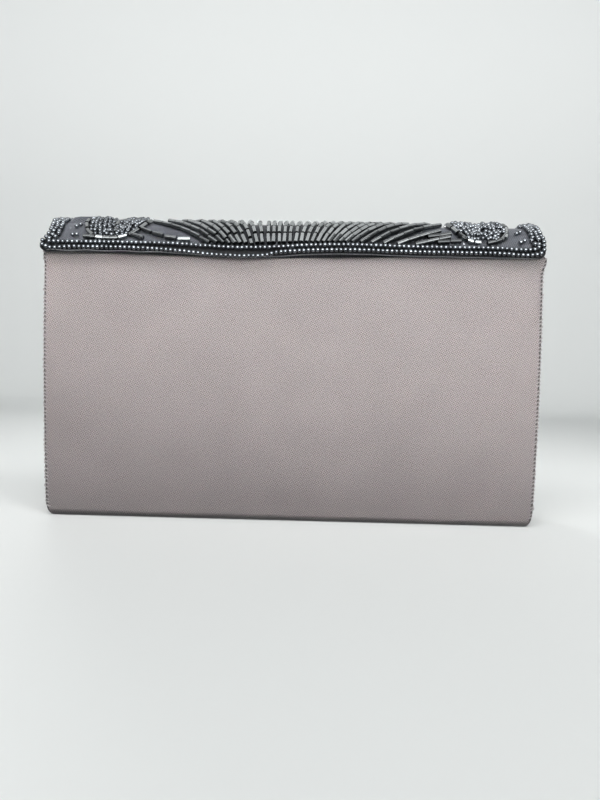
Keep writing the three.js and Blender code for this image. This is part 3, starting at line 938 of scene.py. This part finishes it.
def quarter(x, s, radius, start):
    """Flat points of a quarter turn round a centre, from a start angle from +x towards +s."""
    angle = np.linspace(start, start + np.pi / 2.0, 24)
    return joined(x + radius * np.cos(angle), s + radius * np.sin(angle))


def row_route(side, back, front, back_corner, front_corner, sag):
    """Flat route of a string: up the right side, along the front edge, down the left side.

    A string with a back corner closes along the back edge. It sags there to the left of the middle and
    at the left end, and dips at the right end.
    """
    half = FLAP_HALF_WIDTH - side
    low = back + back_corner
    corner_x = half - front_corner
    corner_s = FLAP_LENGTH - front - front_corner
    parts = [
        np.array([(half, low)]),
        quarter(corner_x, corner_s, front_corner, 0.0),
        quarter(-corner_x, corner_s, front_corner, np.pi / 2.0),
        np.array([(-half, low)]),
    ]
    if back_corner > 0.0:
        back_x = half - back_corner
        x = np.linspace(-back_x, back_x, 240)
        slack = plateau(x, *SAG_RUN) + END_SAG * smooth_step(-x, *END_SAG_RUN)
        dip = END_DIP * np.exp(-(((x - END_DIP_CENTRE) / END_DIP_REACH) ** 2))
        parts.append(quarter(-back_x, low, back_corner, np.pi))
        parts.append(joined(x, back - (sag * slack + dip))[1:-1])
        parts.append(quarter(back_x, low, back_corner, -np.pi / 2.0))
    return np.concatenate(parts)


def spaced_along(route, pitch):
    """Places at equal steps along a flat route, and the route's angle there from straight up the cloth."""
    length = run_along(route)
    count = int(length[-1] / pitch)
    at = (np.arange(count) + 0.5) * length[-1] / count
    place = between(at, length, route)
    step = between(at + 0.3, length, route) - between(at - 0.3, length, route)
    return place[:, 0], place[:, 1], np.arctan2(step[:, 0], step[:, 1])


def make_bead_row(node, seed):
    """A string of seed beads along one of the flap's border routes, looser beyond the back edge."""
    rng = np.random.default_rng(seed)
    x, s, turn = spaced_along(row_route(**BEAD_ROWS[node]), BEAD_PITCH)
    loose = np.where(s > 6.0, 0.2, 0.03)
    x = x + rng.normal(0.0, 1.0, len(x)) * loose
    s = s + rng.normal(0.0, 1.0, len(x)) * loose
    lift = BEAD_DIAMETER / 2.0 + BEAD_GAP + np.abs(rng.normal(0.0, 1.0, len(x))) * loose
    seed_piece("seed_" + node[5:], x, s, turn, lift, rng, node)


# The fan of bugle strands, the lone strand and the single bugles


def fan_lean(foot):
    """Lean of a strand from straight up the cloth, in radians, between the table's nearest feet."""
    return np.radians(np.interp(foot, LEAN_FEET, LEANS))


def foot_step(foot):
    """Step along the feet that keeps neighbouring strands a pitch apart.

    The pitch is closer where they lean, and wide on the right.
    """
    lean = fan_lean(foot)
    closing = smooth_step(np.degrees(abs(lean)), 0.0, FAN_CLOSE_LEAN)
    widening = smooth_step(np.degrees(lean), *FAN_WIDEN_RUN)
    leaning_pitch = FAN_CLOSE_PITCH + (FAN_WIDE_PITCH - FAN_CLOSE_PITCH) * widening
    return (FAN_PITCH + (leaning_pitch - FAN_PITCH) * closing) / np.cos(lean)


def strand_feet():
    """Feet of the strands from left to right, stepped out from the middle one."""
    feet = [FAN_MIDDLE_FOOT]
    while feet[-1] < FAN_LAST_FOOT:
        feet.append(feet[-1] + foot_step(feet[-1]))
    feet.pop()
    while feet[0] > FAN_FIRST_FOOT:
        feet.insert(0, feet[0] - foot_step(feet[0]))
    return np.array(feet[1:])


def strand_lengths(feet, lean):
    """Distance along each strand to the fan's ellipse: the positive root of its quadratic."""
    a = (np.sin(lean) / FAN_HALF_WIDTH) ** 2 + (np.cos(lean) / FAN_REACH) ** 2
    b = 2.0 * (feet - FAN_CENTRE) * np.sin(lean) / FAN_HALF_WIDTH**2
    c = ((feet - FAN_CENTRE) / FAN_HALF_WIDTH) ** 2 - 1.0
    return (-b + np.sqrt(b**2 - 4.0 * a * c)) / (2.0 * a)


def make_fan():
    """Strands of bugles from the border to the fan's elliptical outline, painted palest in the middle as
    reflection and darker to the sides as shade.

    About one strand in eight starts with half a bugle.
    """
    rng = np.random.default_rng(21)
    feet = strand_feet()
    lean = fan_lean(feet)
    lengths = strand_lengths(feet, lean)
    most = int(np.ceil(lengths.max() / BUGLE_PITCH))
    step = np.arange(most)[None, :]
    first = np.where(rng.random(len(feet)) < 0.12, 0.5, 1.0)[:, None]
    size = np.where(step == 0, first, 1.0) * np.ones((len(feet), most))
    start = np.where(step == 0, 0.0, first + step - 1.0) * BUGLE_PITCH
    middle = start + size * BUGLE_PITCH / 2.0
    kept = start + size * BUGLE_PITCH < lengths[:, None] + 0.4 * BUGLE_PITCH
    strand = np.nonzero(kept)[0]
    foot_all, lean_all = feet[strand], lean[strand]
    distance = middle[kept]
    length = size[kept] * BUGLE_PITCH - (BUGLE_PITCH - BUGLE_LENGTH)
    x = foot_all + distance * np.sin(lean_all) + rng.normal(0.0, 0.06, len(distance))
    s = FAN_BASE + distance * np.cos(lean_all)
    # Painted shade: the tone falls from the painted light middle to the left, to the right and at the last
    # feet
    shade = FAN_TONE - FAN_LEFT_SHADE * smooth_step(-x, *FAN_LEFT_RUN)
    shade = shade - FAN_RIGHT_SHADE * smooth_step(x, *FAN_RIGHT_RUN)
    shade = shade - FAN_LAST_SHADE * smooth_step(foot_all, *FAN_LAST_RUN)
    tone = np.clip(rng.normal(shade, 0.11), 0.0, 1.0)
    bugle_piece("bugle_strands", x, s, lean_all, length, tone, rng, "bugle_fan")


def make_lone_strand():
    """The curved strand to the left of the fan. Its first bugle is silver-lined."""
    rng = np.random.default_rng(22)
    x, s, turn = spaced_along(LONE_STRAND, LONE_PITCH)
    length = np.full(len(x), BUGLE_LENGTH)
    tone = np.where(np.arange(len(x)) == 0, SILVER, 0.42)
    bugle_piece("bugle_lone_strand", x, s, turn, length, tone, rng, "bugle_strand")


def make_lone_bugles():
    """Single bugles between the leaves, the fan and the border."""
    rng = np.random.default_rng(23)
    x, s, turn, length, tone = LONE_BUGLES.T
    bugle_piece("bugle_singles", x, s, np.radians(turn), length, tone, rng)


# The leaves: seed beads heaped beside lines of bugles


def leaf_half_width(share, width):
    """Half the width of a leaf at a share of its length: a pointed oval, fuller towards its root."""
    oval = np.clip(np.sin(np.pi * np.clip(share, 0.0, 1.0) ** LEAF_FULLNESS), 0.0, None)
    return (LEAF_TIP + (width - LEAF_TIP) * oval**LEAF_ROUNDNESS) / 2.0


def make_leaf(node, seed):
    """Rows of seed beads side by side along a leaf, heaped towards its middle."""
    rng = np.random.default_rng(seed)
    shape = LEAVES[node]
    rows = np.arange(-3, 4)[:, None]
    count = int(shape["length"] / LEAF_SPACING)
    along = (np.arange(count)[None, :] + 0.5 + 0.5 * (rows % 2)) * LEAF_SPACING
    beside = np.broadcast_to(rows * LEAF_SPACING * LEAF_ROW_STEP, along.shape)
    reach = leaf_half_width(along / shape["length"], shape["width"])
    left_room, right_room = (
        LEAF_LINED_ROOM if side in shape["edges"] else LEAF_BARE_ROOM for side in (-1.0, 1.0)
    )
    kept = (beside > left_room - reach) & (beside < reach - right_room)
    along, beside, reach = along[kept], beside[kept], reach[kept]
    loose = rng.normal(0.0, 0.22, (2, len(along)))
    x, s = leaf_place(shape, along + loose[0], beside + loose[1])
    heap = LEAF_HEAP * np.clip(1.0 - (beside / reach) ** 2, 0.0, 1.0)
    lift = BEAD_DIAMETER / 2.0 + BEAD_GAP + heap + rng.normal(0.0, 0.25, len(x))
    turn = np.radians(shape["lean"]) + rng.normal(0.0, 0.5, len(x))
    seed_piece("seed_" + node, x, s, turn, lift, rng, node, tilt=0.3, shade=shape["shade"])


def make_leaf_roots():
    """A row of five seed beads and one of four above it, between the roots of each two leaves."""
    rng = np.random.default_rng(71)
    beside = np.concatenate((np.arange(-2, 3), np.arange(-2, 2) + 0.5)) * 1.17 * BEAD_PITCH
    above = np.repeat((0.0, 2.4), (5, 4))
    x = (LEAF_ROOTS[:, :1] + beside).ravel()
    s = (LEAF_ROOTS[:, 1:] + above).ravel()
    loose = rng.normal(0.0, 0.2, (3, len(x)))
    lift = BEAD_DIAMETER / 2.0 + 0.3 + np.abs(loose[2])
    turn = rng.uniform(0.0, np.pi, len(x))
    seed_piece("seed_leaf_roots", x + loose[0], s + loose[1], turn, lift, rng, tilt=0.3, shade=0.3)


def make_leaf_outlines():
    """Bugles end to end along the lined edges of the leaves."""
    rng = np.random.default_rng(51)
    share = np.linspace(0.04, 0.96, 120)
    sets = []
    for shape in LEAVES.values():
        for side in shape["edges"]:
            edge = side * (leaf_half_width(share, shape["width"]) - 0.7)
            route = joined(*leaf_place(shape, share * shape["length"], edge))
            sets.append(joined(*spaced_along(route, BUGLE_PITCH)))
    x, s, turn = np.concatenate(sets).T
    tone = np.clip(rng.normal(0.48, 0.15, len(x)), 0.0, 1.0)
    length = np.full(len(x), BUGLE_LENGTH)
    bugle_piece("bugle_leaf_outlines", x, s, turn, length, tone, rng)


# Pairs of beads scattered over the bare cloth


def scattered_places(rng):
    """Half-drop grid over the flap, jittered, and kept clear of the fan, the leaves and the border."""
    size = (PAIR_ROWS, PAIR_COLUMNS)
    columns = np.arange(PAIR_COLUMNS)[None, :] - PAIR_COLUMNS // 2
    rows = np.arange(PAIR_ROWS)[:, None]
    x = (columns + 0.5 * (rows % 2)) * PAIR_STEP_X + rng.normal(0.0, 0.9, size)
    s = PAIR_FIRST_S + rows * PAIR_STEP_S + rng.normal(0.0, 0.9, size)
    clear = (np.abs(x) < FLAP_HALF_WIDTH - PAIR_ROOM) & (s < FLAP_LENGTH - PAIR_ROOM)
    clear &= fan_share(x, s, PAIR_MARGIN) > 1.0
    corner = FRONT_CORNER + PAIR_MARGIN
    corner_x = np.clip(np.abs(x) - (FLAP_HALF_WIDTH - corner), 0.0, None)
    corner_s = np.clip(s - (FLAP_LENGTH - corner), 0.0, None)
    clear &= np.hypot(corner_x, corner_s) < PAIR_CORNER
    for shape in LEAVES.values():
        clear &= leaf_share(shape, x, s, *PAIR_LEAF_ROOM) > 1.0
    return x[clear], s[clear]


def make_bead_pairs():
    """Two seed beads side by side at each scattered place, and at the places by the flap's ends."""
    rng = np.random.default_rng(61)
    x, s = scattered_places(rng)
    angle = rng.uniform(0.0, np.pi, len(x))
    half_step = joined(np.sin(angle), np.cos(angle)) * BEAD_PITCH / 2.0
    centre = joined(x, s)
    pairs = np.concatenate((END_PAIRS, np.stack((centre - half_step, centre + half_step), axis=1)))
    step = pairs[:, 1] - pairs[:, 0]
    turn = np.repeat(np.arctan2(step[:, 0], step[:, 1]), 2)
    x, s = pairs.reshape(-1, 2).T
    lift = np.full(len(x), BEAD_DIAMETER / 2.0 + 0.05)
    seed_piece("seed_bead_pairs", x, s, turn, lift, rng)


# Stitches


def make_edge_stitches(name, side, at_back):
    """Overcast stitches down one side edge of a panel: short threads over the edge, each a bent tube.

    A stitch's line comes out of the panel's face and goes round the rolled edge into the side seam,
    rising a little as it goes.
    """
    z = np.arange(3.5, (BODY_HEIGHT if at_back else FRONT_HEIGHT) - 2.5, STITCH_PITCH)
    rng = np.random.default_rng(int(31 + 2 * side + at_back))
    share = np.linspace(0.0, 1.0, 9)
    turn = np.radians(STITCH_START + STITCH_TURN * share)
    edge = half_width_at(z)[:, None] - STITCH_INSET + rng.normal(0.0, 0.12, (len(z), 1))
    x = side * (edge + STITCH_WIDTH * np.sin(turn))
    depth = STITCH_WIDTH - STITCH_DEPTH * np.cos(turn)
    y = depth if at_back else front_face_at(z)[:, None] - depth
    rise = z[:, None] + STITCH_RISE * share + rng.normal(0.0, 0.2, (len(z), 1))
    x = x + corner_tip(x, rise) * at_back
    line = joined(x, y + BACK_Y, rise)
    ahead = unit(np.gradient(line, axis=1))
    beside = unit(np.cross(ahead, (0.0, 0.0, 1.0)))
    above = np.cross(beside, ahead)
    around = np.linspace(0.0, 2.0 * np.pi, 7)[:-1, None]
    taper = STITCH_RADIUS * np.sqrt(np.clip(1.0 - (2.0 * share - 1.0) ** 8, 0.1, None))
    ring = np.cos(around) * beside[:, :, None, :] + np.sin(around) * above[:, :, None, :]
    tubes = line[:, :, None, :] + taper[:, None, None] * ring
    each = len(share) * len(around)
    quads = grid_quads(len(share), len(around), wrap=True)
    faces = (quads[None] + np.arange(len(z))[:, None, None] * each).reshape(-1, 4)
    dress(new_piece(name, tubes.reshape(-1, 3), faces[:, ::-1].tolist(), THREAD), "satin")


# Making the clutch

make_body()
make_gusset(-1, "satin_gusset_left", "gusset_left")
make_gusset(1, "satin_gusset_right", "gusset_right")
make_flap()
make_lip_fold()
for number, row_node in enumerate(BEAD_ROWS):
    make_bead_row(row_node, 11 + number)
make_fan()
make_lone_strand()
make_lone_bugles()
make_leaf_outlines()
make_leaf_roots()
make_bead_pairs()
for number, leaf_node in enumerate(LEAVES):
    make_leaf(leaf_node, 41 + number)
for side, hand in ((-1, "left"), (1, "right")):
    make_edge_stitches(f"edge_stitches_back_{hand}", side, True)
    make_edge_stitches(f"edge_stitches_front_{hand}", side, False)

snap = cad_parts["snap"]
snap.data.materials.clear()
snap.data.materials.append(NICKEL)


# The camera, at the photograph's angle to the back panel, and the stage, in metres

FOCAL_PIXELS = 600.0
IMAGE_WIDTH, IMAGE_HEIGHT = 600, 800
SENSOR = 36.0
CAMERA_PLACE = np.array((11.54, -262.3 + BACK_Y, 69.7))
CAMERA_YAW = -0.0251
CAMERA_PITCH = 0.0596
CAMERA_ROLL = 0.0202
PAPER_COLOUR = (0.78, 0.8, 0.79)
STAGE_REACH = 3.0
BACKDROP_Y = 1.3
BACKDROP_ROUND = 0.5
WALL_HALF_WIDTH, WALL_DEPTH, WALL_MIDDLE_Y = 2.95, 3.8, 0.9
GLOW = 0.95
GLOW_RUN = (1.3, 2.6)


def stand(thing, right, up, back, place):
    """Sets a camera or light at a place in metres, with its own x, y and z along three directions."""
    placed = np.eye(4)
    placed[:3] = np.stack((right, up, back, place), axis=1)
    thing.matrix_world = Matrix(placed.tolist())
    bpy.context.scene.collection.objects.link(thing)


def make_camera():
    """A camera that looks along +y, turned by yaw, pitched down and rolled."""
    level = np.array((np.cos(CAMERA_YAW), -np.sin(CAMERA_YAW), 0.0))
    ahead = np.array((np.sin(CAMERA_YAW), np.cos(CAMERA_YAW), 0.0))
    forward = np.cos(CAMERA_PITCH) * ahead - np.sin(CAMERA_PITCH) * np.array((0.0, 0.0, 1.0))
    upright = np.cross(level, forward)
    right = np.cos(CAMERA_ROLL) * level + np.sin(CAMERA_ROLL) * upright
    up = -np.sin(CAMERA_ROLL) * level + np.cos(CAMERA_ROLL) * upright
    data = bpy.data.cameras.new("camera")
    data.sensor_width = SENSOR
    data.lens = SENSOR * FOCAL_PIXELS / max(IMAGE_WIDTH, IMAGE_HEIGHT)
    data.clip_start = 0.01
    data.clip_end = 50.0
    camera = bpy.data.objects.new("camera", data)
    stand(camera, right, up, -forward, CAMERA_PLACE * MM)
    bpy.context.scene.camera = camera


def make_stage():
    """A pale floor, a backdrop that curves up from it, and a glowing wall round the other sides.

    The backdrop is a quarter-round profile drawn out along x, and the wall half an oval drawn up. The
    floor glows towards the wall. Neither of these two shows in the beads or lights the clutch.
    """
    turn = np.linspace(0.0, np.pi / 2.0, 24)
    half_turn = np.linspace(0.0, np.pi, 60)
    across = np.linspace(-STAGE_REACH, STAGE_REACH, 41)
    up = np.array((0.0, STAGE_REACH))
    wall_end = [BACKDROP_Y + 0.1]
    wall_x = WALL_HALF_WIDTH * np.concatenate(([1.0], np.cos(half_turn), [-1.0]))
    wall_y = np.concatenate((wall_end, WALL_MIDDLE_Y - WALL_DEPTH * np.sin(half_turn), wall_end))
    curve_y = np.concatenate((BACKDROP_Y - BACKDROP_ROUND + BACKDROP_ROUND * np.sin(turn), [BACKDROP_Y]))
    curve_z = np.concatenate((BACKDROP_ROUND - BACKDROP_ROUND * np.cos(turn), [STAGE_REACH]))
    floor_y = np.linspace(-STAGE_REACH, curve_y[0], 27)
    floor_glow = GLOW * smooth_step(np.hypot(across, floor_y[:, None]), *GLOW_RUN)
    grounds = {
        "floor": (across, floor_y[:, None], 0.0, floor_glow),
        "backdrop": (across, curve_y[:, None], curve_z[:, None], 0.0),
        "surround": (wall_x[:, None], wall_y[:, None], up, GLOW),
    }
    paper = pale_paper("pale_paper", PAPER_COLOUR)
    for name, values in grounds.items():
        x, y, z, tone = np.broadcast_arrays(*values)
        points = joined(x, y, z).reshape(-1, 3) / MM
        ground = new_piece(name, points, grid_quads(*x.shape).tolist(), paper, tone=tone.ravel())
        ground.visible_glossy = name == "backdrop"
        ground.visible_diffuse = name == "backdrop"
        ground.visible_shadow = name != "surround"


def make_light(
    name, place, target, size, power, colour=(1.0, 1.0, 1.0), spread=180.0, roll=0.0,
    in_gloss=True, in_matt=True, takers=(),
):
    """A soft box that faces its target, rolled, with a narrowed beam. Angles are in degrees.

    It may be kept out of gloss or off matt surfaces, and lights takers alone, if there are any.
    """
    data = bpy.data.lights.new(name, "AREA")
    data.shape = "RECTANGLE"
    data.size, data.size_y = size
    data.energy = power
    data.color = colour
    data.spread = np.radians(spread)
    light = bpy.data.objects.new(name, data)
    away = unit(np.array(place) - np.array(target))
    level = unit(np.cross((0.0, 0.0, 1.0), away))
    right = np.cos(np.radians(roll)) * level + np.sin(np.radians(roll)) * np.cross(away, level)
    stand(light, right, np.cross(away, right), away, place)
    light.visible_camera = False
    light.visible_glossy = in_gloss
    light.visible_diffuse = in_matt
    if takers:
        linked = bpy.data.collections.new(name)
        for piece in takers:
            linked.objects.link(piece)
        light.light_linking.receiver_collection = linked


make_camera()
make_stage()

# Lights that show in gloss alone
make_light("window", (0.12, -1.21, 0.57), (0.0, 0.0, 0.09), (2.0, 1.45), 34.0, in_matt=False)
make_light("overhead", (0.0, 0.17, 1.0), (0.0, 0.12, 0.0), (9.0, 1.0), 10.0, in_matt=False)
bugle_pieces = [
    piece for piece in bpy.data.objects
    if piece.type == "MESH" and BUGLE_GLASS in piece.data.materials[:]
]
make_light(
    "bugle_overhead", (0.0, 0.17, 1.04), (0.0, 0.12, 0.0), (9.0, 1.0), 25.0, in_matt=False,
    takers=bugle_pieces,
)
make_light("front_window", (0.0, 1.15, 0.12), (0.0, 0.02, 0.08), (0.6, 0.14), 1.2, in_matt=False)

# Lights that reach matt surfaces alone
KEY_COLOUR = (1.0, 0.975, 0.96)
make_light(
    "key", (0.12, -1.0, 0.33), (0.015, 0.0, 0.086), (0.6, 0.09), 0.124, KEY_COLOUR,
    spread=11.0, roll=-7.0, in_gloss=False,
)
make_light("sky", (0.05, -0.55, 1.1), (0.0, 0.0, 0.08), (1.4, 0.5), 13.5, in_gloss=False)
make_light("wall", (0.0, 0.55, 1.0), (0.0, 1.3, 1.0), (4.0, 1.2), 17.5, in_gloss=False)
make_light(
    "front", (-0.5, 1.05, 0.2), (0.0, 0.02, 0.07), (0.5, 0.2), 0.42, spread=26.0, in_gloss=False
)
for side in (-1.0, 1.0):
    make_light(
        "side", (1.1 * side, 0.0, 0.15), (0.0, 0.0, 0.07), (0.3, 0.2), 0.1, spread=24.0, in_gloss=False
    )

world = bpy.data.worlds.new("studio")
world.use_nodes = True
world.node_tree.nodes["Background"].inputs["Color"].default_value = (0.88, 0.95, 1.0, 1.0)
world.node_tree.nodes["Background"].inputs["Strength"].default_value = 0.12
bpy.context.scene.world = world
bpy.context.scene.view_settings.view_transform = "Standard"
